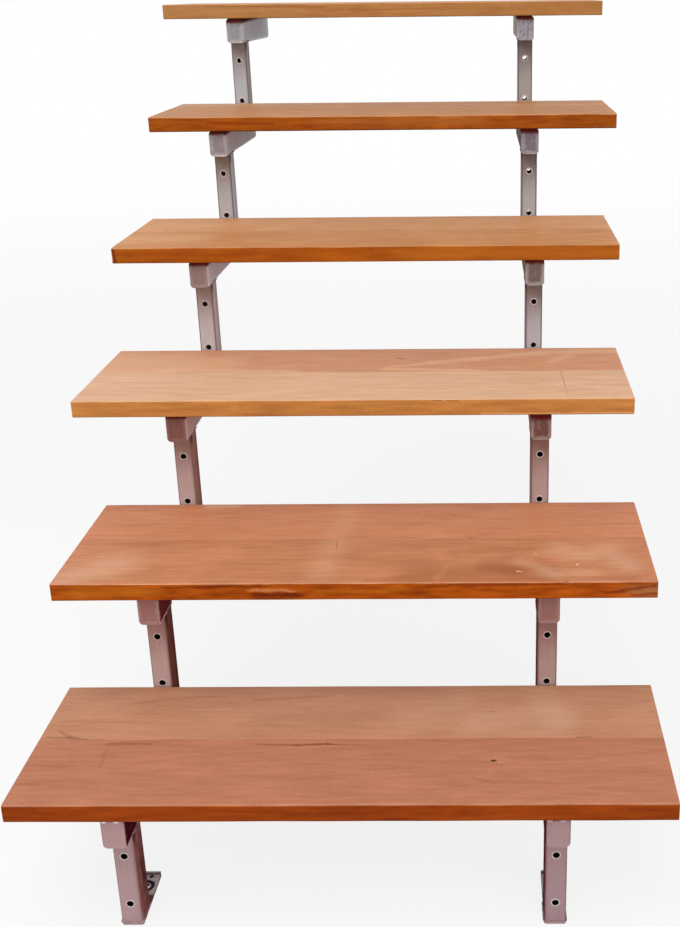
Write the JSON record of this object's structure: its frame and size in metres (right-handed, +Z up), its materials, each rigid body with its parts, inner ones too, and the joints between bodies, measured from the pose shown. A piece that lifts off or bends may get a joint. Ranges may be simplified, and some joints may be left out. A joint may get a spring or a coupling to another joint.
{
  "type": "outdoor staircase",
  "caption": "Open outdoor flight of timber board treads on two stepped steel stringers, each made of stacked posts and level arms, with foot plates.",
  "frame": {"origin": "under the left foot plate, where the axis of the first left post meets the ground", "axes": "+X across the flight from the left stringer to the right one, +Y up the flight towards the landing, +Z up"},
  "size_m": [0.927, 1.582, 1.233],
  "materials": {
    "timber_front": "oiled, planed hardwood",
    "timber_back": "oiled, planed hardwood",
    "post_steel": "dull grey coated steel",
    "arm_steel": "dull grey coated steel",
    "foot_steel": "dull grey coated steel"
  },
  "bodies": {
    "root": {"left_foot_plate": "foot_steel", "right_foot_plate": "foot_steel", "left_post_1": "post_steel", "left_post_2": "post_steel", "left_post_3": "post_steel", "left_post_4": "post_steel", "left_post_5": "post_steel", "left_post_6": "post_steel", "right_post_1": "post_steel", "right_post_2": "post_steel", "right_post_3": "post_steel", "right_post_4": "post_steel", "right_post_5": "post_steel", "right_post_6": "post_steel", "left_arm_1": "arm_steel", "left_arm_2": "arm_steel", "left_arm_3": "arm_steel", "left_arm_4": "arm_steel", "left_arm_5": "arm_steel", "left_arm_6": "arm_steel", "right_arm_1": "arm_steel", "right_arm_2": "arm_steel", "right_arm_3": "arm_steel", "right_arm_4": "arm_steel", "right_arm_5": "arm_steel", "right_arm_6": "arm_steel", "tread_1_front_board": "timber_front", "tread_2_front_board": "timber_front", "tread_3_front_board": "timber_front", "tread_4_front_board": "timber_front", "tread_5_front_board": "timber_front", "tread_6_front_board": "timber_front", "tread_1_back_board": "timber_back", "tread_2_back_board": "timber_back", "tread_3_back_board": "timber_back", "tread_4_back_board": "timber_back", "tread_5_back_board": "timber_back", "tread_6_back_board": "timber_back"}
  },
  "joints": []
}
